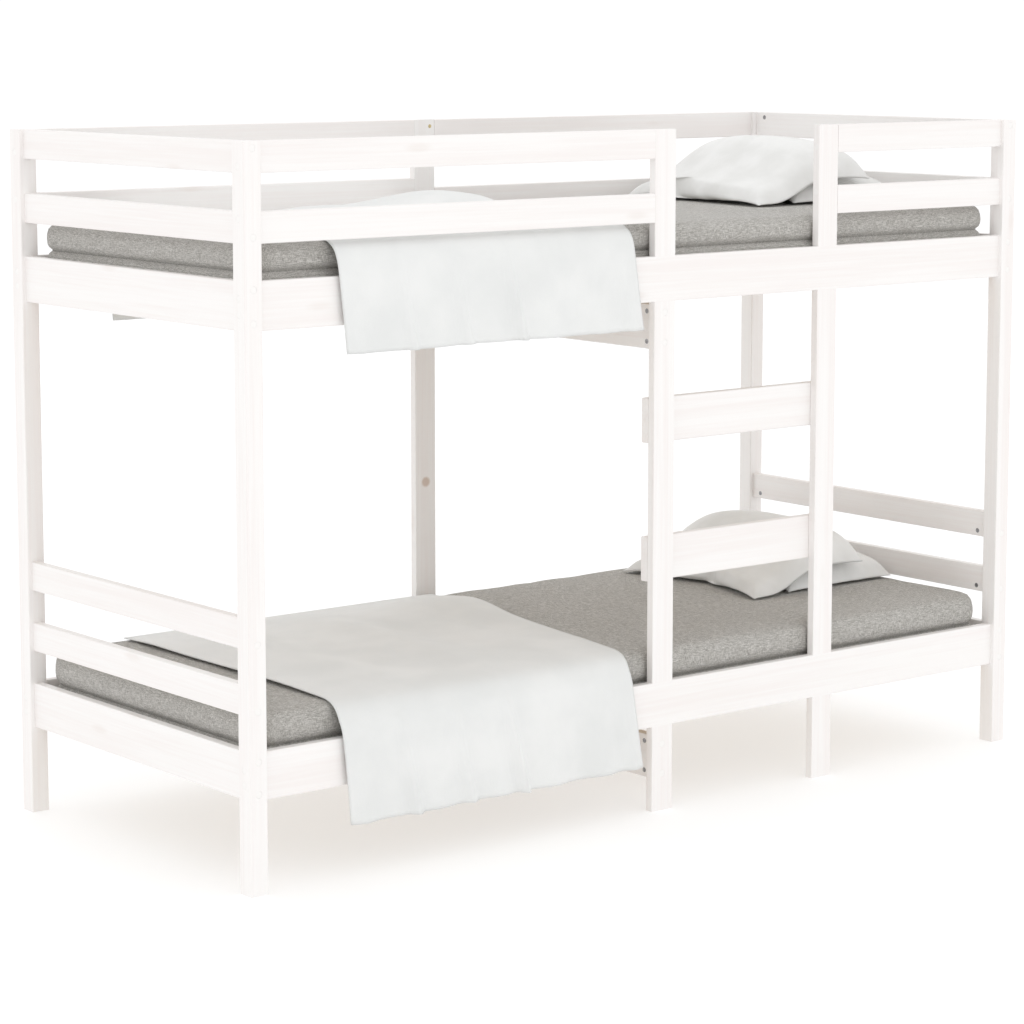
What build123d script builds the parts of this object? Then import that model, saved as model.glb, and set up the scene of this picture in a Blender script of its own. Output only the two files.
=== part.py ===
"""Bunk bed with a built-in ladder: white-lacquered pine frame, slats, mattresses, pillows, blankets.

Millimetres, +X along the bed towards the head end, +Y from the ladder side to the back, +Z up.
The origin is on the floor, under the middle of the frame.
"""
from build123d import *
import os
from math import hypot

os.makedirs("parts", exist_ok=True)

# Driving dimensions of the frame
LENGTH = 1955.0
WIDTH = 805.0
HEIGHT = 1337.0
POST = 37.0                 # square corner posts
BOARD = 18.0                # thickness of every board
GUARD = 56.0                # height of guard and end boards
RAIL = 88.0                 # height of rails, steps and stretchers
UPRIGHT = 53.0              # width of the ladder uprights and the back centre post
LADDER_PITCH = 436.0        # between the centres of the two uprights
LOWER_RAIL_Z = 170.0
UPPER_RAIL_Z = 1006.0
END_BOARD_Z = (322.0, 442.0)
GUARD_Z = (1158.5, 1281.0)
LOW_BACK_GUARD_Z = 1138.0   # the head half of the back's second guard sits lower
STEP_Z = (457.5, 730.0)
STRETCHER_Z = (60.0, 911.5)
EDGE_R = 2.0                # eased long edges
POST_EDGE_R = 2.5

# Slatted bases
SLAT_COUNT = 13
SLAT_W = 70.0
SLAT_T = 15.0
CLEAT = 20.0
SLAT_TOP_BELOW_RAIL_TOP = 37.0

# Bedding
MATTRESS_L = 1886.0
MATTRESS_W = 740.0
MATTRESS_T = 100.0
MATTRESS_CORNER_R = 55.0
MATTRESS_EDGE_R = 20.0
BLANKET_X = (-777.5, -47.5)
BLANKET_T = 5.0
SKIN = 0.4                  # air between soft pieces

# Fittings
BOLT_R = 3.0
BOLT_BORE_R = 3.5
HEAD_R = 5.2
HEAD_H = 3.5
SOCKET_R = 2.3
SOCKET_DEPTH = 2.0
SINK_R = 6.5                # sunk hole for head and cap
SINK_DEPTH = 8.0
CAP_T = 2.0
NUT_R = 4.95
NUT_L = 14.0
SLOT_W = 1.4
SLOT_DEPTH = 1.0
NUT_BACK = 25.0             # from the board's end to the barrel nut
BOLT_PAST_NUT = 9.0
DOWEL_R = 4.0
DOWEL_IN_POST = 12.0
DOWEL_L = 40.0
PLAY = 0.1
GUARD_INSET = 12.0          # bolt or dowel from the edge of a guard board
RAIL_INSET = 14.5           # bolt from the edge of an end rail or stretcher
SIDE_RAIL_INSET = 30.0      # side rail bolts sit between the end rail's bolts

END_X = LENGTH / 2 - POST / 2
SIDE_Y = WIDTH / 2 - POST / 2
SPAN_X = LENGTH / 2 - POST
SPAN_Y = WIDTH / 2 - POST
INNER_Y = SIDE_Y - BOARD / 2
HALF = UPRIGHT / 2
X_AXIS, Y_AXIS, Z_AXIS = (1, 0, 0), (0, 1, 0), (0, 0, 1)

wood = {}                   # node name -> solid
fittings = {}               # node name -> list of solids


def block(x0, x1, y0, y1, z0, z1):
    size = (x1 - x0, y1 - y0, z1 - z0)
    return Pos((x0 + x1) / 2, (y0 + y1) / 2, (z0 + z1) / 2) * Box(*size)


def eased(solid, axis, radius=EDGE_R):
    """Round the four long edges of a board."""
    return fillet(solid.edges().filter_by(axis), radius)


def rod(start, direction, length, radius):
    place = Plane(origin=start, z_dir=direction)
    return place * Cylinder(radius, length, align=(Align.CENTER, Align.CENTER, Align.MIN))


def along(point, direction, distance):
    return tuple(p + d * distance for p, d in zip(point, direction))


def side_board(name, x0, x1, y, z, height):
    wood[name] = eased(block(x0, x1, y - BOARD / 2, y + BOARD / 2, z, z + height), Axis.X)


def end_board(name, x, y0, y1, z, height):
    wood[name] = eased(block(x - BOARD / 2, x + BOARD / 2, y0, y1, z, z + height), Axis.Y)


def standing_board(name, x, y):
    solid = block(x - HALF, x + HALF, y - BOARD / 2, y + BOARD / 2, 0, HEIGHT)
    wood[name] = eased(solid, Axis.Z)


def corner_post(name, x, y):
    half = POST / 2
    solid = eased(block(x - half, x + half, y - half, y + half, 0, HEIGHT), Axis.Z, POST_EDGE_R)
    wood[name] = fillet(solid.faces().sort_by(Axis.Z)[-1].edges(), EDGE_R / 2)


def add(node, solid):
    fittings.setdefault(node, []).append(solid)


def bolt(start, direction, length):
    """Button-head bolt with a hexagon socket; start is under the head."""
    body = rod(start, direction, length, BOLT_R)
    top = along(start, direction, -HEAD_H)
    head = rod(top, direction, HEAD_H, HEAD_R)
    head = fillet(head.edges().filter_by(GeomType.CIRCLE), 0.6)
    socket = extrude(Plane(origin=top, z_dir=direction) * RegularPolygon(SOCKET_R, 6), SOCKET_DEPTH)
    return body + head - socket


def barrel_nut(centre, direction, bolt_direction):
    """Cross-drilled barrel nut, flush with the board's inner face, with a driver slot."""
    start = along(centre, direction, BOARD / 2 - NUT_L)
    body = rod(start, direction, NUT_L, NUT_R)
    hole = rod(along(centre, bolt_direction, -NUT_R * 2), bolt_direction, NUT_R * 4, BOLT_R + PLAY)
    face = along(centre, direction, BOARD / 2)
    slot = Plane(origin=face, z_dir=direction) * Box(SLOT_W, 2 * NUT_R + 1, 2 * SLOT_DEPTH)
    return body - hole - slot


def bolt_joint(board, post, end, out, through, inner):
    """Bolt through a post or upright into a barrel nut, pressed in from the board's face on the inner side."""
    nut_at = along(end, out, -NUT_BACK)
    outer = along(end, out, through)
    inward = tuple(-v for v in out)
    under_head = along(outer, out, -SINK_DEPTH)
    shank = through - SINK_DEPTH + NUT_BACK + BOLT_PAST_NUT
    add("frame_bolts", bolt(under_head, inward, shank))
    add("barrel_nuts", barrel_nut(nut_at, inner, out))
    cap = rod(along(outer, out, -CAP_T), out, CAP_T, SINK_R - PLAY)
    add("bolt_cover_caps", fillet(cap.edges().filter_by(GeomType.CIRCLE), 0.4))
    nut_start = along(nut_at, inner, BOARD / 2 - NUT_L - PLAY)
    wood[board] -= rod(end, inward, NUT_BACK + 12.0, BOLT_BORE_R)
    wood[board] -= rod(nut_start, inner, NUT_L + 1.0, NUT_R + 0.05)
    wood[post] -= rod(along(end, out, -1.0), out, through + 1.0, BOLT_BORE_R)
    wood[post] -= rod(along(outer, inward, SINK_DEPTH), out, SINK_DEPTH + 1.0, SINK_R)


def dowel_joint(board, post, end, out):
    """Wooden dowel between a board's end grain and a post."""
    inward = tuple(-v for v in out)
    start = along(end, out, DOWEL_IN_POST)
    pin = rod(start, inward, DOWEL_L, DOWEL_R)
    add("wooden_dowels", chamfer(pin.edges().filter_by(GeomType.CIRCLE), 0.8))
    hole = rod(along(start, out, 0.5), inward, DOWEL_L + 1.0, DOWEL_R + 0.05)
    wood[board] -= hole
    wood[post] -= hole


def wood_screw(start, direction, length, radius, grow=0.0):
    """Countersunk screw; start is the middle of its flat head."""
    head_r = 2 * radius
    place = Plane(origin=start, z_dir=direction)
    head = place * Cone(head_r + grow, radius + grow, radius, align=(Align.CENTER, Align.CENTER, Align.MIN))
    return head + rod(start, direction, length + grow, radius + grow)


def screw_joint(node, members, start, direction, length, radius):
    add(node, wood_screw(start, direction, length, radius))
    for member in members:
        wood[member] -= wood_screw(start, direction, length, radius, PLAY)


def make_standing_members():
    for end_name, x in (("foot", -END_X), ("head", END_X)):
        corner_post("post_front_" + end_name, x, -SIDE_Y)
        corner_post("post_back_" + end_name, x, SIDE_Y)
    standing_board("ladder_upright_left", 0, -SIDE_Y)
    standing_board("ladder_upright_right", LADDER_PITCH, -SIDE_Y)
    standing_board("centre_post_back", 0, SIDE_Y)


def lap(rail, upright, x, y, z, height):
    """Cross-halving: the rail keeps its outer half, square-edged there, the upright its inner half."""
    side = 1 if y > 0 else -1
    middle, inner, outer = y, y - side * (BOARD / 2 + 1), y + side * (BOARD / 2 + 1)
    face = y + side * BOARD / 2
    square = block(x - HALF, x + HALF, min(middle, face), max(middle, face), z, z + height)
    wood[rail] += square
    wood[rail] -= block(x - HALF, x + HALF, min(middle, inner), max(middle, inner), z - 1, z + height + 1)
    top = z + height + (1 if z + height >= HEIGHT else 0)
    wood[upright] -= block(x - HALF - 1, x + HALF + 1, min(middle, outer), max(middle, outer), z, top)
    for dx, dz in ((-14, 0.25), (14, 0.75)):
        head = (x + dx, y - side * BOARD / 2, z + dz * height)
        screw_joint("lap_joint_screws", (rail, upright), head, (0, side, 0), 15.0, 2.0)


def make_side_rails():
    for level, z in (("lower", LOWER_RAIL_Z), ("upper", UPPER_RAIL_Z)):
        for face, y in (("front", -SIDE_Y), ("back", SIDE_Y)):
            name = f"side_rail_{level}_{face}"
            side_board(name, -SPAN_X, SPAN_X, y, z, RAIL)
            inner = (0, 1 if y < 0 else -1, 0)
            for end_name, sign in (("foot", -1), ("head", 1)):
                post = f"post_{face}_{end_name}"
                out = (sign, 0, 0)
                for dz in (SIDE_RAIL_INSET, RAIL - SIDE_RAIL_INSET):
                    bolt_joint(name, post, (sign * SPAN_X, y, z + dz), out, POST, inner)
                dowel_joint(name, post, (sign * SPAN_X, y, z + RAIL / 2), out)
        lap(f"side_rail_{level}_front", "ladder_upright_left", 0, -SIDE_Y, z, RAIL)
        lap(f"side_rail_{level}_front", "ladder_upright_right", LADDER_PITCH, -SIDE_Y, z, RAIL)
        lap(f"side_rail_{level}_back", "centre_post_back", 0, SIDE_Y, z, RAIL)


def make_end_boards():
    for end_name, x in (("foot", -END_X), ("head", END_X)):
        rows = [(f"end_rail_lower_{end_name}", LOWER_RAIL_Z, RAIL, False),
                (f"end_rail_upper_{end_name}", UPPER_RAIL_Z, RAIL, False),
                (f"end_board_low_{end_name}", END_BOARD_Z[0], GUARD, False),
                (f"end_board_high_{end_name}", END_BOARD_Z[1], GUARD, False),
                (f"end_guard_low_{end_name}", GUARD_Z[0], GUARD, False),
                (f"end_guard_top_{end_name}", GUARD_Z[1], GUARD, True)]
        inner = (1 if x < 0 else -1, 0, 0)
        for name, z, height, bolt_high in rows:
            end_board(name, x, -SPAN_Y, SPAN_Y, z, height)
            if height == RAIL:
                bolts, dowel = (RAIL_INSET, RAIL - RAIL_INSET), RAIL / 2
            elif bolt_high:
                bolts, dowel = (GUARD - GUARD_INSET,), GUARD_INSET
            else:
                bolts, dowel = (GUARD_INSET,), GUARD - GUARD_INSET
            for face, sign in (("front", -1), ("back", 1)):
                post = f"post_{face}_{end_name}"
                out = (0, sign, 0)
                for dz in bolts:
                    bolt_joint(name, post, (x, sign * SPAN_Y, z + dz), out, POST, inner)
                dowel_joint(name, post, (x, sign * SPAN_Y, z + dowel), out)


def guard_offsets(z):
    """Bolt and dowel heights that stay clear of the end guards' own bolts."""
    if z == GUARD_Z[1]:
        return GUARD_INSET, GUARD - GUARD_INSET
    return GUARD - GUARD_INSET, GUARD_INSET


def make_front_guards():
    inner = (0, 1, 0)
    sections = (("foot", -SPAN_X, -HALF, "post_front_foot", "ladder_upright_left"),
                ("head", LADDER_PITCH + HALF, SPAN_X, "ladder_upright_right", "post_front_head"))
    for level, z in (("low", GUARD_Z[0]), ("top", GUARD_Z[1])):
        bolt_z, dowel_z = guard_offsets(z)
        for half, x0, x1, left, right in sections:
            name = f"front_guard_{level}_{half}"
            side_board(name, x0, x1, -SIDE_Y, z, GUARD)
            for x, post, sign in ((x0, left, -1), (x1, right, 1)):
                through = POST if post.startswith("post") else UPRIGHT
                bolt_joint(name, post, (x, -SIDE_Y, z + bolt_z), (sign, 0, 0), through, inner)
                dowel_joint(name, post, (x, -SIDE_Y, z + dowel_z), (sign, 0, 0))


def make_back_guards():
    nut_side = (0, 1, 0)
    top = "back_guard_top"
    side_board(top, -SPAN_X, SPAN_X, SIDE_Y, GUARD_Z[1], GUARD)
    bolt_z, dowel_z = guard_offsets(GUARD_Z[1])
    for end_name, sign in (("foot", -1), ("head", 1)):
        post = "post_back_" + end_name
        out = (sign, 0, 0)
        bolt_joint(top, post, (sign * SPAN_X, SIDE_Y, GUARD_Z[1] + bolt_z), out, POST, nut_side)
        dowel_joint(top, post, (sign * SPAN_X, SIDE_Y, GUARD_Z[1] + dowel_z), out)
    lap(top, "centre_post_back", 0, SIDE_Y, GUARD_Z[1], GUARD)
    halves = (("foot", -1, GUARD_Z[0]), ("head", 1, LOW_BACK_GUARD_Z))
    for half, sign, z in halves:
        name = "back_guard_low_" + half
        x0, x1 = sorted((sign * SPAN_X, sign * HALF))
        side_board(name, x0, x1, SIDE_Y, z, GUARD)
        bolt_z, dowel_z = guard_offsets(z)
        if half == "head":
            bolt_z = GUARD - GUARD_INSET + 2.0
        post = "post_back_" + half
        out, back = (sign, 0, 0), (-sign, 0, 0)
        bolt_joint(name, post, (sign * SPAN_X, SIDE_Y, z + bolt_z), out, POST, nut_side)
        dowel_joint(name, post, (sign * SPAN_X, SIDE_Y, z + dowel_z), out)
        for dz in (GUARD_INSET, GUARD - GUARD_INSET):
            dowel_joint(name, "centre_post_back", (sign * HALF, SIDE_Y, z + dz), back)


def make_stretchers():
    """Cross boards that tie the left upright to the back centre post."""
    for level, z in zip(("lower", "upper"), STRETCHER_Z):
        name = f"cross_stretcher_{level}"
        end_board(name, 0, -INNER_Y, INNER_Y, z, RAIL)
        for post, sign in (("ladder_upright_left", -1), ("centre_post_back", 1)):
            end = (0, sign * INNER_Y, z)
            out = (0, sign, 0)
            for dz in (RAIL_INSET, RAIL - RAIL_INSET):
                bolt_joint(name, post, along(end, Z_AXIS, dz), out, BOARD, (-1, 0, 0))


def make_steps():
    front = -INNER_Y
    for level, z in zip(("lower", "upper"), STEP_Z):
        name = f"ladder_step_{level}"
        solid = block(-HALF, LADDER_PITCH + HALF, front, front + BOARD, z, z + RAIL)
        wood[name] = eased(solid, Axis.X, 3.0)
        for upright, x in (("ladder_upright_left", 0), ("ladder_upright_right", LADDER_PITCH)):
            for dx, dz in ((-13, 22), (13, 66)):
                start = (x + dx, front + BOARD, z + dz)
                screw_joint("step_screws", (name, upright), start, (0, -1, 0), 32.0, 2.25)


def slat_centres():
    reach = SPAN_X - 14.0 - SLAT_W / 2
    pitch = 2 * reach / (SLAT_COUNT - 1)
    return [-reach + pitch * i for i in range(SLAT_COUNT)]


def make_slatted_base(level, rail_z):
    slat_top = rail_z + RAIL - SLAT_TOP_BELOW_RAIL_TOP
    slat_z = slat_top - SLAT_T
    cleat_z = slat_z - CLEAT
    reach = SPAN_X - 10.0
    for face, sign in (("front", -1), ("back", 1)):
        name = f"slat_cleat_{level}_{face}"
        y_out, y_in = sign * INNER_Y, sign * (INNER_Y - CLEAT)
        solid = block(-reach, reach, min(y_out, y_in), max(y_out, y_in), cleat_z, slat_z)
        wood[name] = eased(solid, Axis.X, 1.0)
        rail = f"side_rail_{level}_{face}"
        for i in range(6):
            x = -reach + 45.0 + i * (2 * reach - 90.0) / 5
            start = (x, y_in, cleat_z + CLEAT / 2)
            screw_joint("cleat_screws", (name, rail), start, (0, sign, 0), 33.0, 2.0)
    slats = []
    half_span = INNER_Y - 2.0
    for x in slat_centres():
        slat = eased(block(x - SLAT_W / 2, x + SLAT_W / 2, -half_span, half_span, slat_z, slat_top), Axis.Y, 2.5)
        for face, sign in (("front", -1), ("back", 1)):
            start = (x, sign * (INNER_Y - CLEAT / 2), slat_top)
            slat -= wood_screw(start, (0, 0, -1), 28.0, 1.75, PLAY)
            screw_joint("slat_screws", (f"slat_cleat_{level}_{face}",), start, (0, 0, -1), 28.0, 1.75)
        slats.append(slat)
    fittings[f"slats_{level}"] = slats
    return slat_top


def make_mattress(level, z):
    plan = extrude(RectangleRounded(MATTRESS_L, MATTRESS_W, MATTRESS_CORNER_R), MATTRESS_T)
    faces = plan.faces().sort_by(Axis.Z)
    solid = fillet(faces[0].edges() + faces[-1].edges(), MATTRESS_EDGE_R)
    wood[f"mattress_{level}"] = Pos(0, 0, z) * solid


def cloth_strip(points):
    """A strip of cloth across the bed, from its side-view centre line (y, z)."""
    pieces = []
    x0, x1 = BLANKET_X
    for (y_a, z_a), (y_b, z_b) in zip(points, points[1:]):
        run = hypot(y_b - y_a, z_b - z_a)
        bar = Box(x1 - x0, run, BLANKET_T)
        tilt = Plane(origin=((x0 + x1) / 2, (y_a + y_b) / 2, (z_a + z_b) / 2),
                     x_dir=(1, 0, 0), z_dir=(0, -(z_b - z_a) / run, (y_b - y_a) / run))
        pieces.append(tilt * bar)
    for y, z in points[1:-1]:
        pieces.append(rod((x0, y, z), X_AXIS, x1 - x0, BLANKET_T / 2))
    strip = pieces[0]
    for piece in pieces[1:]:
        strip += piece
    return strip


def rumple(x, y, z, height, radius):
    """Low mound where the cloth is rucked up."""
    ball_r = (radius ** 2 + height ** 2) / (2 * height)
    ball = Pos(x, y, z + height - ball_r) * Sphere(ball_r)
    return ball & block(x - radius, x + radius, y - radius, y + radius, z, z + height + 1)


def make_blankets(lower_top, upper_top):
    hang_y = WIDTH / 2 - BLANKET_T / 2 - 0.5
    lie = SKIN + BLANKET_T / 2 + 0.6
    upper_side = [(352.0, upper_top + lie), (376.0, upper_top - 4.0), (392.0, upper_top - 14.0),
                  (hang_y, upper_top - 27.0), (hang_y, 955.0)]
    front = [(-y, z) for y, z in upper_side]
    upper = cloth_strip(upper_side[::-1] + front)
    mound_z = upper_top + lie
    wood["blanket_upper"] = upper + rumple(-215.0, 95.0, mound_z, 42.0, 165.0)
    lower = cloth_strip([(352.0, lower_top + lie), (-352.0, lower_top + lie), (-376.0, lower_top - 4.0),
                         (-391.0, lower_top - 23.0), (-hang_y, lower_top - 46.0), (-hang_y, 97.0)])
    mound_z = lower_top + lie
    wood["blanket_lower"] = lower + rumple(-215.0, 95.0, mound_z, 30.0, 165.0)


FLAT_PILLOW_X = (552.5, 934.5)
FLAT_PILLOW_Y = (-150.0, 325.0)
FLAT_PILLOW_H = 75.0
LEAN_PILLOW_X = (482.5, 827.5)
LEAN_PILLOW_Y = (-128.0, 345.0)
LEAN_PILLOW_TOP = 120.0
SEAM_H = 12.0


def crown(y0, y1, z0, rise):
    """Side view of a pillow across its length: thin seams, full middle."""
    middle = (y0 + y1) / 2
    top = ThreePointArc((y1, z0 + SEAM_H), (middle, z0 + rise), (y0, z0 + SEAM_H))
    rim = Polyline((y0, z0 + SEAM_H), (y0, z0), (y1, z0), (y1, z0 + SEAM_H))
    return make_face(Plane.YZ * (top + rim))


def make_pillows(level, z):
    x0, x1 = FLAT_PILLOW_X
    middle = (x0 + x1) / 2
    base = z + SKIN
    top = ThreePointArc((x1, base + SEAM_H), (middle, base + FLAT_PILLOW_H), (x0, base + SEAM_H))
    rim = Polyline((x0, base + SEAM_H), (x0, base), (x1, base), (x1, base + SEAM_H))
    section = make_face(Plane.XZ * (top + rim))
    body = extrude(section, WIDTH / 2, both=True)
    mask = extrude(crown(*FLAT_PILLOW_Y, base, FLAT_PILLOW_H + 6.0), LENGTH / 2)
    wood[f"pillow_flat_{level}"] = body & mask

    a0, a1 = LEAN_PILLOW_X
    gap = 1.5
    over = ThreePointArc((x1, base + SEAM_H + gap), (middle, base + FLAT_PILLOW_H + gap),
                         (x0, base + SEAM_H + gap))
    tuck = over @ 1 + Vector(-4.0, 0)
    reach = (a1 - x0) / (x1 - x0)
    heel = over.position_at(1 - reach, position_mode=PositionMode.PARAMETER)
    under = ThreePointArc((x0, base + SEAM_H + gap), over.position_at(1 - reach / 2), heel)
    nose = Polyline((a0, base + SEAM_H), (a0, base), (tuck.X - 3.0, base), (x0, base + SEAM_H + gap))
    tail = Line(heel, (heel.X, heel.Y + 22.0))
    crest = ThreePointArc((heel.X, heel.Y + 22.0), (a0 + 200.0, base + LEAN_PILLOW_TOP), (a0, base + SEAM_H))
    section = make_face(Plane.XZ * (nose + under + tail + crest))
    body = extrude(section, WIDTH / 2, both=True)
    mask = extrude(crown(*LEAN_PILLOW_Y, base, LEAN_PILLOW_TOP + 8.0), LENGTH / 2)
    wood[f"pillow_leaning_{level}"] = body & mask


def write_parts():
    for name, solid in wood.items():
        solid.label = name
        export_step(solid, f"parts/{name}.step")
    for name, solids in fittings.items():
        group = Compound(label=name, children=[s if isinstance(s, Solid) else s.solid() for s in solids])
        export_step(group, f"parts/{name}.step")


make_standing_members()
make_side_rails()
make_end_boards()
make_front_guards()
make_back_guards()
make_stretchers()
make_steps()
LOWER_TOP = make_slatted_base("lower", LOWER_RAIL_Z) + MATTRESS_T
UPPER_TOP = make_slatted_base("upper", UPPER_RAIL_Z) + MATTRESS_T
make_mattress("lower", LOWER_TOP - MATTRESS_T)
make_mattress("upper", UPPER_TOP - MATTRESS_T)
make_blankets(LOWER_TOP, UPPER_TOP)
make_pillows("lower", LOWER_TOP)
make_pillows("upper", UPPER_TOP)
write_parts()
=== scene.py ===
from math import cos, hypot, pi, radians, sin

import bmesh
import bpy
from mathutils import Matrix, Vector, noise


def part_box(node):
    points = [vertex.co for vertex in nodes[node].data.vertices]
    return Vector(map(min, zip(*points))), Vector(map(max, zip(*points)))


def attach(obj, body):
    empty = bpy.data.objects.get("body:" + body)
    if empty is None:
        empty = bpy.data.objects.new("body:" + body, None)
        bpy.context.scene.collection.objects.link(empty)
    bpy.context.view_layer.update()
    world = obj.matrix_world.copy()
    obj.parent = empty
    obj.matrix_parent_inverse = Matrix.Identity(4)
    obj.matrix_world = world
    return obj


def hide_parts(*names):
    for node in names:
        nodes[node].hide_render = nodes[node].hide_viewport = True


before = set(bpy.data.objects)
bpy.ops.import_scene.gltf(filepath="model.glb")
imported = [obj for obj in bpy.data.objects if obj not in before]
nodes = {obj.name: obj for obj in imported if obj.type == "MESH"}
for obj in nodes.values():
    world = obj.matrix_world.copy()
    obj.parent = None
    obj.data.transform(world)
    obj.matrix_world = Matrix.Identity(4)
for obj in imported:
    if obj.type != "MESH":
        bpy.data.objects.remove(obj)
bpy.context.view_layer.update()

scene = bpy.context.scene

# Camera and light. A long lens looks at the foot end and the ladder side from standing eye height.
# Broad soft lights stand in for a white studio, and the floor is plain and pale.
camera = bpy.data.objects.new("camera", bpy.data.cameras.new("camera"))
scene.collection.objects.link(camera)
camera.location = (-3.9308, -4.8287, 1.535)
TILT_DOWN = 7.5
AZIMUTH = 51.31
camera.rotation_euler = (radians(90 - TILT_DOWN), 0, radians(AZIMUTH - 90))
camera.data.lens = 108.2
camera.data.sensor_width = 36
camera.data.shift_y = -0.08
scene.camera = camera
scene.view_settings.view_transform = "Standard"


def area_light(name, place, target, size, power):
    lamp = bpy.data.lights.new(name, "AREA")
    lamp.size = size
    lamp.energy = power
    lamp_object = bpy.data.objects.new(name, lamp)
    lamp_object.location = place
    lamp_object.rotation_euler = (Vector(target) - Vector(place)).to_track_quat("-Z", "Y").to_euler()
    scene.collection.objects.link(lamp_object)


area_light("key_front", (-1.2, -5.0, 3.6), (0, 0, 0.6), 3.5, 12)
area_light("fill_foot_end", (-5.0, -0.6, 2.6), (0, 0, 0.6), 3.0, 3)
area_light("top_soft", (0.4, 0.6, 4.2), (0, 0, 0.5), 4.0, 4)
world = bpy.data.worlds.new("white_studio")
scene.world = world
world.use_nodes = True
world.node_tree.nodes["Background"].inputs["Color"].default_value = (1, 1, 1, 1)
world.node_tree.nodes["Background"].inputs["Strength"].default_value = 1.06


# Shader writing: Num wraps a socket so that sums read as sums, and Finish holds one material's tree.
class Num:
    def __init__(self, finish, socket):
        self.finish = finish
        self.socket = socket

    def _with(self, operation, a, b):
        made = self.finish.node("ShaderNodeMath", {"operation": operation}, {0: a, 1: b})
        return Num(self.finish, made.outputs[0])

    def __add__(self, other):
        return self._with("ADD", self, other)

    def __mul__(self, other):
        return self._with("MULTIPLY", self, other)

    def __sub__(self, other):
        return self._with("SUBTRACT", self, other)

    def __rsub__(self, other):
        return self._with("SUBTRACT", other, self)


class Finish:
    def __init__(self, name, roughness=0.5, **fixed):
        self.material = bpy.data.materials.new(name)
        self.material.use_nodes = True
        self.tree = self.material.node_tree
        self.shader = self.tree.nodes["Principled BSDF"]
        self.shader.inputs["Roughness"].default_value = roughness
        for socket, value in fixed.items():
            self.shader.inputs[socket.replace("_", " ")].default_value = value

    def node(self, kind, settings=None, sockets=None):
        made = self.tree.nodes.new(kind)
        for key, value in (settings or {}).items():
            setattr(made, key, value)
        for key, value in (sockets or {}).items():
            if isinstance(value, Num):
                value = value.socket
            if isinstance(value, bpy.types.NodeSocket):
                self.tree.links.new(value, made.inputs[key])
            else:
                made.inputs[key].default_value = value
        return made

    def place(self, scale, shift=(0, 0, 0)):
        coordinates = self.node("ShaderNodeTexCoord").outputs["Object"]
        sockets = {"Vector": coordinates, "Scale": scale, "Location": shift}
        return self.node("ShaderNodeMapping", {}, sockets).outputs[0]

    def noise(self, scale, detail=2.0, shift=(0, 0, 0)):
        sockets = {"Vector": self.place(scale, shift), "Scale": 1.0, "Detail": detail}
        return Num(self, self.node("ShaderNodeTexNoise", {}, sockets).outputs[0])

    def step(self, value, low, high):
        settings = {"interpolation_type": "SMOOTHSTEP"}
        sockets = {"Value": value, "From Min": low, "From Max": high}
        return Num(self, self.node("ShaderNodeMapRange", settings, sockets).outputs[0])

    def blend(self, factor, a, b):
        sockets = {0: factor, 6: a, 7: b}
        return self.node("ShaderNodeMix", {"data_type": "RGBA"}, sockets).outputs[2]

    def colour(self, socket):
        self.tree.links.new(socket, self.shader.inputs["Base Color"])

    def rough(self, value):
        self.tree.links.new(value.socket, self.shader.inputs["Roughness"])

    def bump(self, height, depth):
        made = self.node("ShaderNodeBump", {}, {"Height": height, "Distance": depth, "Strength": 1.0})
        self.tree.links.new(made.outputs[0], self.shader.inputs["Normal"])


def dress(thing, finish):
    thing.data.materials.clear()
    thing.data.materials.append(finish.material)


floor_mesh = bpy.data.meshes.new("floor")
FLOOR_HALF = 9
corners = [(sx * FLOOR_HALF, sy * FLOOR_HALF, 0) for sx, sy in ((-1, -1), (1, -1), (1, 1), (-1, 1))]
floor_mesh.from_pydata(corners, [], [(0, 1, 2, 3)])
floor = bpy.data.objects.new("floor", floor_mesh)
scene.collection.objects.link(floor)
# The floor glows a little, which keeps its shadows faint.
floor_finish = Finish("pale_floor", 0.75, Emission_Color=(1, 1, 1, 1), Emission_Strength=0.52)
shade = floor_finish.noise((2, 2, 2))
floor_finish.colour(floor_finish.blend(shade, (0.50, 0.50, 0.50, 1), (0.54, 0.54, 0.54, 1)))
dress(floor, floor_finish)


# Frame: planed pine boards and posts under thin white lacquer. The grain and the knots still show a
# little through it, and each board's grain runs along its length.
WHITE = (0.90, 0.882, 0.868, 1)
WARM = (0.87, 0.83, 0.812, 1)
KNOT = (0.50, 0.33, 0.22, 1)
BACK_POST_KNOT = (0.0, 0.375, 0.565)


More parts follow.
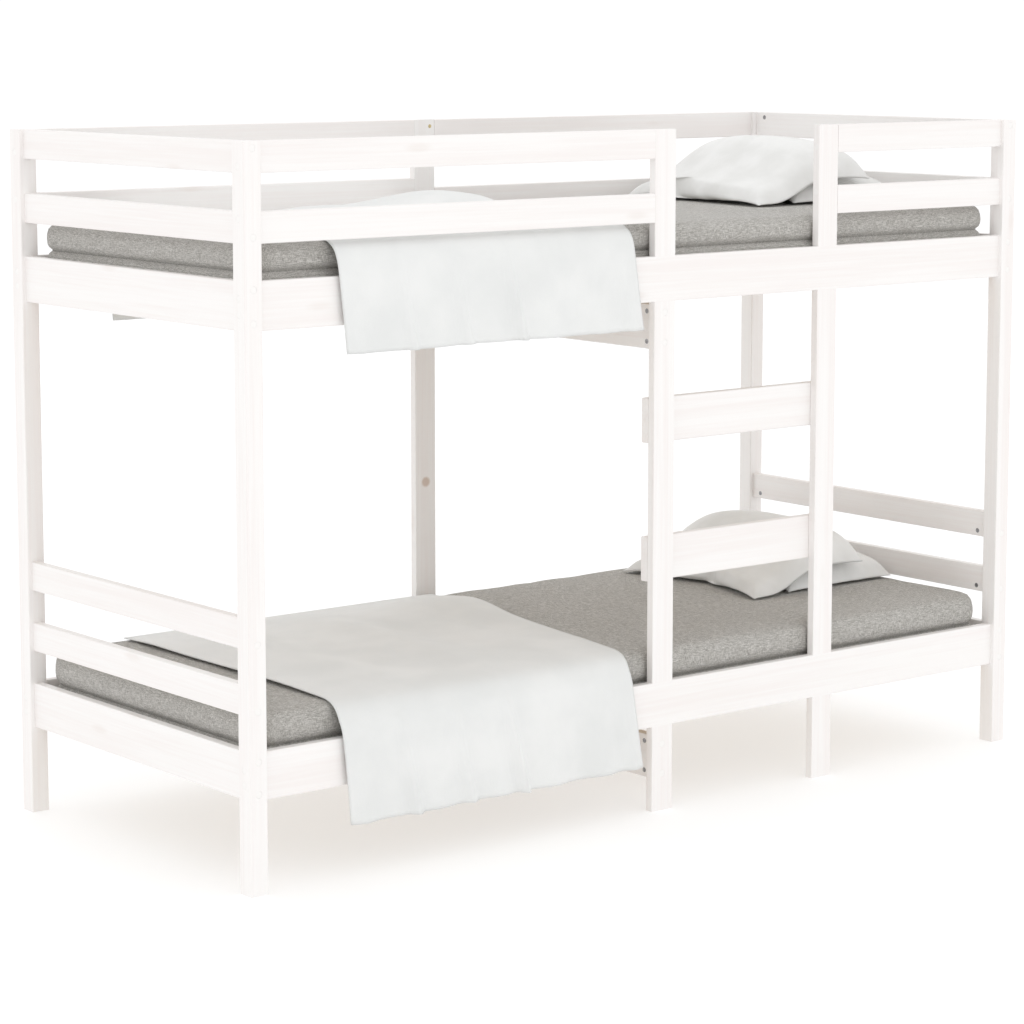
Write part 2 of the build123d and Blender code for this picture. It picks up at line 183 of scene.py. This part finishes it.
def pine(name, axis, light, dark, knot, knot_strength, roughness):
    finish = Finish(name, roughness, Coat_Weight=0.12, Coat_Roughness=0.3)
    fine = [220.0] * 3
    broad = [26.0] * 3
    spots = [15.0] * 3
    fine[axis], broad[axis], spots[axis] = 5.0, 0.9, 4.2
    streaks = finish.noise(fine, 3.0)
    bands = finish.noise(broad, 2.0, (3.1, 1.7, 0.4))
    cells = finish.node("ShaderNodeTexVoronoi", {}, {"Vector": finish.place(spots, (0.3, 0.8, 0.15)), "Scale": 1.0})
    distance = Num(finish, cells.outputs["Distance"])
    lot = Num(finish, finish.node("ShaderNodeSeparateColor", {}, {0: cells.outputs["Color"]}).outputs[0])
    chosen = finish.step(lot, 0.72, 0.76)
    heart = (1 - finish.step(distance, 0.05, 0.17)) * chosen
    halo = (1 - finish.step(distance, 0.12, 0.42)) * chosen
    grain = finish.step(bands * 0.6 + streaks * 0.4, 0.36, 0.66)
    wood = finish.blend(grain, light, dark)
    wood = finish.blend(halo * (0.35 * knot_strength), wood, dark)
    spot = finish.node("ShaderNodeVectorMath", {"operation": "DISTANCE"},
                       {0: finish.node("ShaderNodeTexCoord").outputs["Object"], 1: BACK_POST_KNOT})
    eye = 1 - finish.step(Num(finish, spot.outputs["Value"]) + streaks * 0.004, 0.009, 0.016)
    wood = finish.blend(heart * knot_strength, wood, knot)
    finish.colour(finish.blend(eye * 0.6, wood, knot))
    finish.rough(streaks * 0.12 + (roughness - 0.06))
    finish.bump(streaks * 0.5 + bands * 0.4 + heart * -0.6, 0.0004)
    return finish


lacquer = [pine(f"white_pine_{'xyz'[axis]}", axis, WHITE, WARM, KNOT, 0.10, 0.42) for axis in range(3)]
raw = [pine(f"raw_pine_{'xyz'[axis]}", axis, (0.78, 0.63, 0.44, 1), (0.66, 0.48, 0.30, 1),
            (0.36, 0.21, 0.11, 1), 0.8, 0.6) for axis in range(3)]
LACQUERED = ("post_", "ladder_", "centre_", "side_", "end_", "front_", "back_", "cross_")
RAW = ("slats_", "slat_cleat")
for name, part in nodes.items():
    low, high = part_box(name)
    sides = [b - a for a, b in zip(low, high)]
    along = sides.index(max(sides))
    if name.startswith(LACQUERED):
        dress(part, lacquer[along])
    elif name.startswith(RAW):
        dress(part, raw[1 if name.startswith("slats_") else along])


# Fittings: zinc-plated bolts and barrel nuts, yellow-passivated screws, beech dowels and white caps.
# The nuts are pressed into the boards' inner faces, and the caps close the bolt holes.
def metal(name, base, tarnish, roughness):
    finish = Finish(name, roughness, Metallic=1.0)
    cloud = finish.noise((160, 160, 160), 4.0)
    finish.colour(finish.blend(finish.step(cloud, 0.35, 0.7), base, tarnish))
    finish.rough(cloud * 0.25 + (roughness - 0.1))
    finish.bump(finish.noise((900, 900, 900)), 0.00005)
    return finish


zinc = metal("zinc_plate", (0.42, 0.42, 0.43, 1), (0.26, 0.26, 0.27, 1), 0.42)
passivated = metal("yellow_zinc", (0.72, 0.58, 0.30, 1), (0.55, 0.46, 0.28, 1), 0.35)
cap_plastic = Finish("white_cap_plastic", 0.45)
speckle = cap_plastic.noise((400, 400, 400))
cap_plastic.colour(cap_plastic.blend(speckle, WHITE, (0.88, 0.865, 0.845, 1)))
cap_plastic.bump(speckle, 0.00006)
for name, finish in {"frame_bolts": zinc, "barrel_nuts": zinc, "lap_joint_screws": passivated,
                     "step_screws": passivated, "cleat_screws": passivated, "slat_screws": passivated,
                     "bolt_cover_caps": cap_plastic, "wooden_dowels": raw[0]}.items():
    dress(nodes[name], finish)


# Mattresses: foam cores in a zipped cover of grey-beige melange linen. The two halves of the cover
# meet in a seam round the middle, which pulls the sides in between two soft rolls.
def linen():
    finish = Finish("melange_linen", 0.92, Sheen_Weight=0.25, Sheen_Roughness=0.5)
    flecks = []
    for axis in range(3):
        stretch = [1300.0] * 3
        stretch[axis] = 90.0
        flecks.append(finish.noise(stretch, 1.5, (axis, 2.0 * axis, 0.5)))
    yarn = finish.step((flecks[0] + flecks[1] + flecks[2]) * (1 / 3), 0.43, 0.57)
    cloud = finish.noise((30, 30, 30), 3.0)
    dark, light = (0.30, 0.285, 0.255, 1), (0.74, 0.72, 0.685, 1)
    tone = finish.blend(yarn, dark, light)
    finish.colour(finish.blend(finish.step(cloud, 0.3, 0.8) * 0.3, tone, (0.54, 0.52, 0.485, 1)))
    finish.bump(yarn, 0.0006)
    return finish


linen_finish = linen()
CORNER_R = 0.055
OUTLINE_STEP = 0.022
CENTRE_INSET = 0.355


def outline(half_x, half_y, radius, inset):
    """Rounded rectangle, counter-clockwise from above, inset by the same distance all round."""
    if inset > 0.9 * radius:
        kx, ky = (half_x - inset) / half_x, (half_y - inset) / half_y
        return [(x * kx, y * ky) for x, y in outline(half_x, half_y, radius, 0.0)]
    points = []
    small = radius - inset
    corners = ((1, 1, 0), (-1, 1, 1), (-1, -1, 2), (1, -1, 3))
    for sx, sy, quarter in corners:
        centre = (sx * (half_x - radius), sy * (half_y - radius))
        for i in range(9):
            turn = (quarter + i / 8) * pi / 2
            points.append((centre[0] + small * cos(turn), centre[1] + small * sin(turn)))
        run = half_x if quarter in (0, 2) else half_y
        count = int(2 * (run - radius) / OUTLINE_STEP)
        nx, ny = (-sx, 0) if quarter in (0, 2) else (0, -sy)
        start = points[-1]
        length = 2 * (run - radius)
        for i in range(1, count):
            points.append((start[0] + nx * length * i / count, start[1] + ny * length * i / count))
    return points


WAIST = {"lower": 0.036, "upper": 0.050}
ROLL = [(0.060, 0.000), (0.022, 0.000), (0.011, 0.003), (0.004, 0.010), (0.0008, 0.020), (0.0, 0.029),
        (0.001, 0.038), (0.004, 0.044), (0.010, 0.0485), (0.012, 0.050)]


def mattress(level):
    low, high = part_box(f"mattress_{level}")
    centre = [(a + b) / 2 for a, b in zip(low, high)]
    half_x, half_y, thick = (high[0] - low[0]) / 2, (high[1] - low[1]) / 2, high[2] - low[2]
    waist = WAIST[level]
    profile = [(inset, z * waist / ROLL[-1][1]) for inset, z in ROLL]
    profile += [(inset, thick - z * (thick - waist) / ROLL[-1][1]) for inset, z in ROLL[-2::-1]]
    profile += [(0.120, thick), (0.180, thick), (0.240, thick), (0.300, thick), (CENTRE_INSET, thick)]
    profile = [(CENTRE_INSET, 0.0), (0.180, 0.0)] + profile
    mesh = bmesh.new()
    rings = []
    for inset, z in profile:
        rings.append([])
        for x, y in outline(half_x, half_y, CORNER_R, inset):
            spot = Vector((x, y, z))
            soft = noise.noise(spot * 14) * 0.0016 + noise.noise(spot * 45) * 0.0009
            lift = soft * (1 - inset / CENTRE_INSET) if z > thick * 0.6 else 0.0
            out = soft * 0.8 - 0.001
            size = hypot(x, y)
            px, py = centre[0] + x + out * x / size, centre[1] + y + out * y / size
            rings[-1].append(mesh.verts.new((px, py, low[2] + z + lift - 0.001)))
    for below, above in zip(rings, rings[1:]):
        for i in range(len(below)):
            j = (i + 1) % len(below)
            mesh.faces.new((below[i], below[j], above[j], above[i]))
    mesh.faces.new(rings[0][::-1])
    mesh.faces.new(rings[-1])
    bmesh.ops.recalc_face_normals(mesh, faces=mesh.faces)
    for face in mesh.faces:
        face.smooth = True
    data = bpy.data.meshes.new(f"mattress_cover_{level}")
    mesh.to_mesh(data)
    piece = bpy.data.objects.new(f"mattress_cover_{level}", data)
    scene.collection.objects.link(piece)
    dress(piece, linen_finish)
    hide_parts(f"mattress_{level}")
    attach(piece, "root")
    return piece


mattresses = {level: mattress(level) for level in ("lower", "upper")}


# Waist seam: short stitches of grey thread run round each mattress, where the cover's halves meet.
thread = Finish("grey_thread", 0.7)
twist = thread.noise((1500, 1500, 300))
thread.colour(thread.blend(twist, (0.30, 0.29, 0.27, 1), (0.45, 0.43, 0.41, 1)))
thread.bump(twist, 0.0001)


def stitch_tree():
    tree = bpy.data.node_groups.new("stitch_run", "GeometryNodeTree")
    face = tree.interface
    face.new_socket("Geometry", in_out="INPUT", socket_type="NodeSocketGeometry")
    face.new_socket("Spacing", in_out="INPUT", socket_type="NodeSocketFloat")
    face.new_socket("Thread Radius", in_out="INPUT", socket_type="NodeSocketFloat")
    face.new_socket("Geometry", in_out="OUTPUT", socket_type="NodeSocketGeometry")
    made = {}
    for key, kind in {"in": "NodeGroupInput", "curve": "GeometryNodeMeshToCurve", "even": "GeometryNodeResampleCurve",
                      "stitch": "GeometryNodeMeshCylinder", "tilt": "GeometryNodeTransform",
                      "put": "GeometryNodeInstanceOnPoints", "length": "ShaderNodeMath",
                      "tangent": "GeometryNodeInputTangent", "turn": "FunctionNodeAlignRotationToVector",
                      "real": "GeometryNodeRealizeInstances", "finish": "GeometryNodeSetMaterial",
                      "out": "NodeGroupOutput"}.items():
        made[key] = tree.nodes.new(kind)
    made["even"].mode = "LENGTH"
    made["length"].operation = "MULTIPLY"
    made["length"].inputs[1].default_value = 0.62
    made["stitch"].inputs["Vertices"].default_value = 6
    made["turn"].axis = "Z"
    made["finish"].inputs["Material"].default_value = thread.material
    for a, i, b, j in (("in", "Geometry", "curve", "Mesh"), ("curve", "Curve", "even", "Curve"),
                       ("in", "Spacing", "even", "Length"), ("in", "Spacing", "length", 0),
                       ("length", 0, "stitch", "Depth"), ("in", "Thread Radius", "stitch", "Radius"),
                       ("even", "Curve", "put", "Points"), ("stitch", "Mesh", "tilt", "Geometry"),
                       ("tilt", "Geometry", "put", "Instance"), ("tangent", "Tangent", "turn", "Vector"),
                       ("turn", "Rotation", "put", "Rotation"), ("put", "Instances", "real", "Geometry"),
                       ("real", "Geometry", "finish", "Geometry"), ("finish", "Geometry", "out", "Geometry")):
        tree.links.new(made[a].outputs[i], made[b].inputs[j])
    return tree


stitches = stitch_tree()
STITCH_SPACING = 0.009
THREAD_R = 0.0007
for level in ("lower", "upper"):
    low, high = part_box(f"mattress_{level}")
    waist = ROLL[-1][0] - 0.0004
    loop = outline((high[0] - low[0]) / 2, (high[1] - low[1]) / 2, CORNER_R, waist)
    middle = [(a + b) / 2 for a, b in zip(low, high)]
    points = [(middle[0] + x, middle[1] + y, low[2] + WAIST[level] - 0.001) for x, y in loop]
    data = bpy.data.meshes.new(f"seam_{level}")
    data.from_pydata(points, [(i, (i + 1) % len(points)) for i in range(len(points))], [])
    route = bpy.data.objects.new(f"seam_route_{level}", data)
    scene.collection.objects.link(route)
    modifier = route.modifiers.new("stitches", "NODES")
    modifier.node_group = stitches
    sockets = {s.name: s.identifier for s in stitches.interface.items_tree if s.in_out == "INPUT"}
    modifier[sockets["Spacing"]] = STITCH_SPACING
    modifier[sockets["Thread Radius"]] = THREAD_R
    graph = bpy.context.evaluated_depsgraph_get()
    plain = bpy.data.meshes.new_from_object(route.evaluated_get(graph))
    bpy.data.objects.remove(route)
    seam = bpy.data.objects.new(f"mattress_stitches_{level}", plain)
    scene.collection.objects.link(seam)
    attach(seam, "root")


# Pillows: cotton cases over loose filling, two to a bunk. Each case is two panels sewn at the rim and
# blown up as cloth, then given a smooth crown; the second pillow leans on the first.
def cotton():
    finish = Finish("pillow_cotton", 0.85, Sheen_Weight=0.15)
    weave = finish.noise((1400, 1400, 1400), 1.0)
    cloud = finish.noise((16, 16, 16), 3.0)
    finish.colour(finish.blend(finish.step(cloud, 0.3, 0.75), (0.76, 0.76, 0.745, 1), (0.83, 0.83, 0.82, 1)))
    crease = finish.noise((18, 9, 12), 2.0, (1.3, 0.2, 0.7))
    finish.bump(weave * 0.1 + crease * 0.9, 0.0014)
    return finish


cotton_finish = cotton()


def blown_case(length, width, pressure, seed):
    """Two sewn panels after the cloth has been filled: centred, z up."""
    columns, rows = 34, 40
    mesh = bmesh.new()
    bmesh.ops.create_grid(mesh, x_segments=columns, y_segments=rows, size=0.5)
    for vert in mesh.verts:
        vert.co.x *= length
        vert.co.y *= width
    top = mesh.faces[:]
    copy = bmesh.ops.duplicate(mesh, geom=mesh.verts[:] + mesh.edges[:] + mesh.faces[:])
    lower = [g for g in copy["geom"] if isinstance(g, bmesh.types.BMFace)]
    bmesh.ops.reverse_faces(mesh, faces=lower)
    for face, side in [(f, 1) for f in top] + [(f, -1) for f in lower]:
        for vert in face.verts:
            fx, fy = 1 - abs(2 * vert.co.x / length) ** 4, 1 - abs(2 * vert.co.y / width) ** 4
            wave = noise.noise(Vector((vert.co.x * 5, vert.co.y * 5, seed))) * 0.002
            vert.co.z = side * max(fx * fy, 0.0) * (0.016 + wave)
    bmesh.ops.remove_doubles(mesh, verts=mesh.verts, dist=0.0004)
    data = bpy.data.meshes.new("case")
    mesh.to_mesh(data)
    case = bpy.data.objects.new("case", data)
    scene.collection.objects.link(case)
    last_step = 20
    cloth = case.modifiers.new("cloth", "CLOTH")
    cloth.settings.quality = 6
    cloth.settings.mass = 0.25
    cloth.settings.tension_stiffness = 30
    cloth.settings.compression_stiffness = 30
    cloth.settings.shear_stiffness = 12
    cloth.settings.bending_stiffness = 4.0
    cloth.settings.use_pressure = True
    cloth.settings.uniform_pressure_force = pressure
    cloth.settings.effector_weights.gravity = 0
    cloth.point_cache.frame_start = 1
    cloth.point_cache.frame_end = last_step
    for step in range(1, last_step + 1):
        scene.frame_set(step)
    graph = bpy.context.evaluated_depsgraph_get()
    settled = bpy.data.meshes.new_from_object(case.evaluated_get(graph))
    bpy.data.objects.remove(case)
    scene.frame_set(1)
    return settled


def pillow_height(x, y, box):
    """Height of the flat pillow's crown over its own box, for whatever lies on it."""
    low, high = box
    u = (2 * x - low[0] - high[0]) / (high[0] - low[0])
    v = (2 * y - low[1] - high[1]) / (high[1] - low[1])
    if abs(u) >= 1 or abs(v) >= 1:
        return 0.0
    return (high[2] - low[2]) * ((1 - u ** 4) * (1 - v ** 4)) ** 0.6


PLUMP_POWER = 3.2
SEAM_SHARE = 0.25
CASE_GAP = 0.002


def pillow(kind, level, seed):
    node = f"pillow_{kind}_{level}"
    low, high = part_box(node)
    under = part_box(f"pillow_flat_{level}")
    data = blown_case(0.46, 0.56, 3.0, seed)
    xs = [v.co.x for v in data.vertices]
    ys = [v.co.y for v in data.vertices]
    zs = [v.co.z for v in data.vertices]
    reach = max(max(zs), -min(zs))
    crown, start, front = (0.070, 0.055, 0.035) if kind == "flat" else (0.058, 0.012, 0.0)
    for vert in data.vertices:
        u = (vert.co.x - min(xs)) / (max(xs) - min(xs))
        v = (vert.co.y - min(ys)) / (max(ys) - min(ys))
        x = low[0] + CASE_GAP + start + u * (high[0] - low[0] - start - 0.004)
        y = low[1] + CASE_GAP + front + v * (high[1] - low[1] - front - 0.034)
        across, along = (max(1 - abs(2 * k - 1) ** PLUMP_POWER, 0) for k in (u, v))
        plump = (across * along) ** 0.55
        fill = 0.25 * vert.co.z / reach + 0.75 * plump * min(max(6 * vert.co.z / reach, -1.0), 1.0)
        tilt = 0.0
        if kind == "leaning":
            ease = min(max((x - under[0][0] + 0.02) / 0.17, 0.0), 1.0)
            support = pillow_height(max(x, under[0][0] + 0.001), y, under) + 0.004
            tilt = support * ease * ease * (3 - 2 * ease)
        if fill > 0:
            body = crown * (SEAM_SHARE + (1 - SEAM_SHARE) * fill)
        else:
            body = crown * SEAM_SHARE * (1 + fill)
        crease = noise.noise(Vector((x * 14, y * 6, seed))) * 0.0022 * max(fill, 0.0)
        rim = min(u, 1 - u, v, 1 - v)
        droop = SEAM_SHARE * crown * max(1 - rim / 0.10, 0.0) ** 2
        vert.co = (x, y, low[2] + 0.001 + max(body + crease - droop, 0.0) + tilt)
    data.name = f"pillow_case_{kind}_{level}"
    for polygon in data.polygons:
        polygon.use_smooth = True
    piece = bpy.data.objects.new(data.name, data)
    scene.collection.objects.link(piece)
    smooth = piece.modifiers.new("smooth", "SUBSURF")
    smooth.levels = smooth.render_levels = 1
    dress(piece, cotton_finish)
    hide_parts(node)
    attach(piece, node)


for seed, (kind, level) in enumerate((k, l) for l in ("lower", "upper") for k in ("flat", "leaning")):
    pillow(kind, level, 1.7 + seed)


# Blankets: one soft off-white cloth on each bunk, laid across the foot half of the mattress. It is
# slightly rucked on top, and what hangs over the side rail falls in shallow upright folds.
def blanket_cloth():
    finish = Finish("blanket_cloth", 0.9, Sheen_Weight=0.3)
    warp = finish.noise((1100, 90, 90), 1.0)
    weft = finish.noise((90, 1100, 1100), 1.0, (0.4, 0.1, 0.9))
    cloud = finish.noise((8, 8, 8), 3.0)
    finish.colour(finish.blend(finish.step(cloud, 0.3, 0.75), (0.75, 0.76, 0.752, 1), (0.81, 0.815, 0.806, 1)))
    finish.bump(warp * 0.5 + weft * 0.5, 0.0005)
    return finish


cloth_finish = blanket_cloth()
CLOTH_T = 0.0022
TOP_INSET = 0.040
FALLOFF = 2.718
FOLDS = ((0.05, 0.040, 0.5), (0.22, 0.016, 0.7), (0.30, 0.060, 0.4), (0.40, 0.018, 0.7), (0.50, 0.050, 0.5),
         (0.58, 0.014, 1.0), (0.68, 0.060, 0.5), (0.86, 0.050, 0.6), (0.97, 0.025, 0.5))


def fold(t, shift):
    """Height of the hanging folds, from 0 to about 1, across the cloth."""
    total = 0.0
    for place, width, height in FOLDS:
        total += height * FALLOFF ** (-((t - place - shift) / width) ** 2)
    return total


def rounded(points, step):
    """A side-view line walked in even steps, with its corners eased."""
    line = []
    for (ya, za), (yb, zb) in zip(points, points[1:]):
        count = max(int(hypot(yb - ya, zb - za) / step), 1)
        line += [(ya + (yb - ya) * i / count, za + (zb - za) * i / count) for i in range(count)]
    line.append(points[-1])
    for _ in range(3):
        threes = zip(line, line[1:], line[2:])
        inner = [tuple((p[k] + 2 * q[k] + r[k]) / 4 for k in (0, 1)) for p, q, r in threes]
        line = [line[0]] + inner + [line[-1]]
    return line


def blanket(level, route, mounds, slant):
    """Cloth along a side-view route; each mound is its centre, its two reaches and its height."""
    low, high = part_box(f"blanket_{level}")
    mattress_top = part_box(f"mattress_{level}")[1][2]
    line = rounded(route, 0.008)
    columns = 130
    grid = []
    for y, z in line:
        drop = max(mattress_top - 0.030 - z, 0.0) if abs(y) > 0.38 else 0.0
        side = -1 if y < 0 else 1
        row = []
        for i in range(columns + 1):
            t = i / columns
            x = low[0] + t * (high[0] - TOP_INSET - low[0])
            x += slant * (y + 0.4) * t + 0.008 * sin(3 * y + 1.0) * (1 - t)
            x += drop * (0.10 + 0.06 * t) + 0.003 * noise.noise(Vector((y * 4, z * 4, t + 3)))
            lift = 0.0
            if drop == 0.0 and abs(y) < 0.36:
                fade = min((0.36 - abs(y)) / 0.12, 1.0)
                for mx, my, rx, ry, height in mounds:
                    reach = ((x - mx) / rx) ** 2 + ((y - my) / ry) ** 2
                    lift += height * FALLOFF ** -reach
                lift += 0.004 * (1 + noise.noise(Vector((x * 11 + y * 3, y * 2.2, 5.0 + z))))
                lift *= fade
            hang = min(drop / 0.20, 1.0) ** 0.8 * 0.024 * fold(t, 0.03 * side + 0.12 * drop)
            hem = 0.003 * noise.noise(Vector((t * 3, side, 9.0))) * min(drop / 0.2, 1.0)
            row.append((x, y + side * hang, z + lift + hem))
        grid.append(row)
    mesh = bpy.data.meshes.new(f"blanket_cloth_{level}")
    width = columns + 1
    verts = [p for row in grid for p in row]
    faces = [(r * width + c, r * width + c + 1, (r + 1) * width + c + 1, (r + 1) * width + c)
             for r in range(len(grid) - 1) for c in range(columns)]
    mesh.from_pydata(verts, [], faces)
    for polygon in mesh.polygons:
        polygon.use_smooth = True
    if sum(p.normal.z for p in mesh.polygons) < 0:
        mesh.flip_normals()
    piece = bpy.data.objects.new(mesh.name, mesh)
    scene.collection.objects.link(piece)
    wall = piece.modifiers.new("cloth_wall", "SOLIDIFY")
    wall.thickness = CLOTH_T
    wall.offset = 0.0
    length = sum(hypot(yb - ya, zb - za) for (ya, za), (yb, zb) in zip(line, line[1:]))
    dress(piece, cloth_finish)
    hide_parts(f"blanket_{level}")
    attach(piece, "root")


upper_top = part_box("mattress_upper")[1][2]
lower_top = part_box("mattress_lower")[1][2]
HANG_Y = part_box("post_back_foot")[1][1] - 0.003
side_route = [(HANG_Y, 0.955), (HANG_Y, upper_top - 0.027), (0.392, upper_top - 0.014),
              (0.376, upper_top - 0.004), (0.352, upper_top + 0.0035), (0.20, upper_top + 0.004)]
upper_mounds = [(-0.16, 0.12, 0.16, 0.13, 0.038), (-0.40, 0.05, 0.05, 0.30, 0.012),
                (-0.62, 0.10, 0.04, 0.25, 0.010)]
lower_mounds = [(-0.12, 0.17, 0.14, 0.12, 0.026), (-0.38, 0.05, 0.05, 0.28, 0.012),
                (-0.60, 0.10, 0.045, 0.25, 0.010)]
blanket("upper", side_route + [(-y, z) for y, z in side_route[::-1]], upper_mounds, 0.02)
blanket("lower", [(0.352, lower_top + 0.0035), (-0.352, lower_top + 0.0035), (-0.376, lower_top - 0.004),
                  (-0.391, lower_top - 0.023), (-HANG_Y, lower_top - 0.046), (-HANG_Y, 0.097)],
        lower_mounds, 0.11)
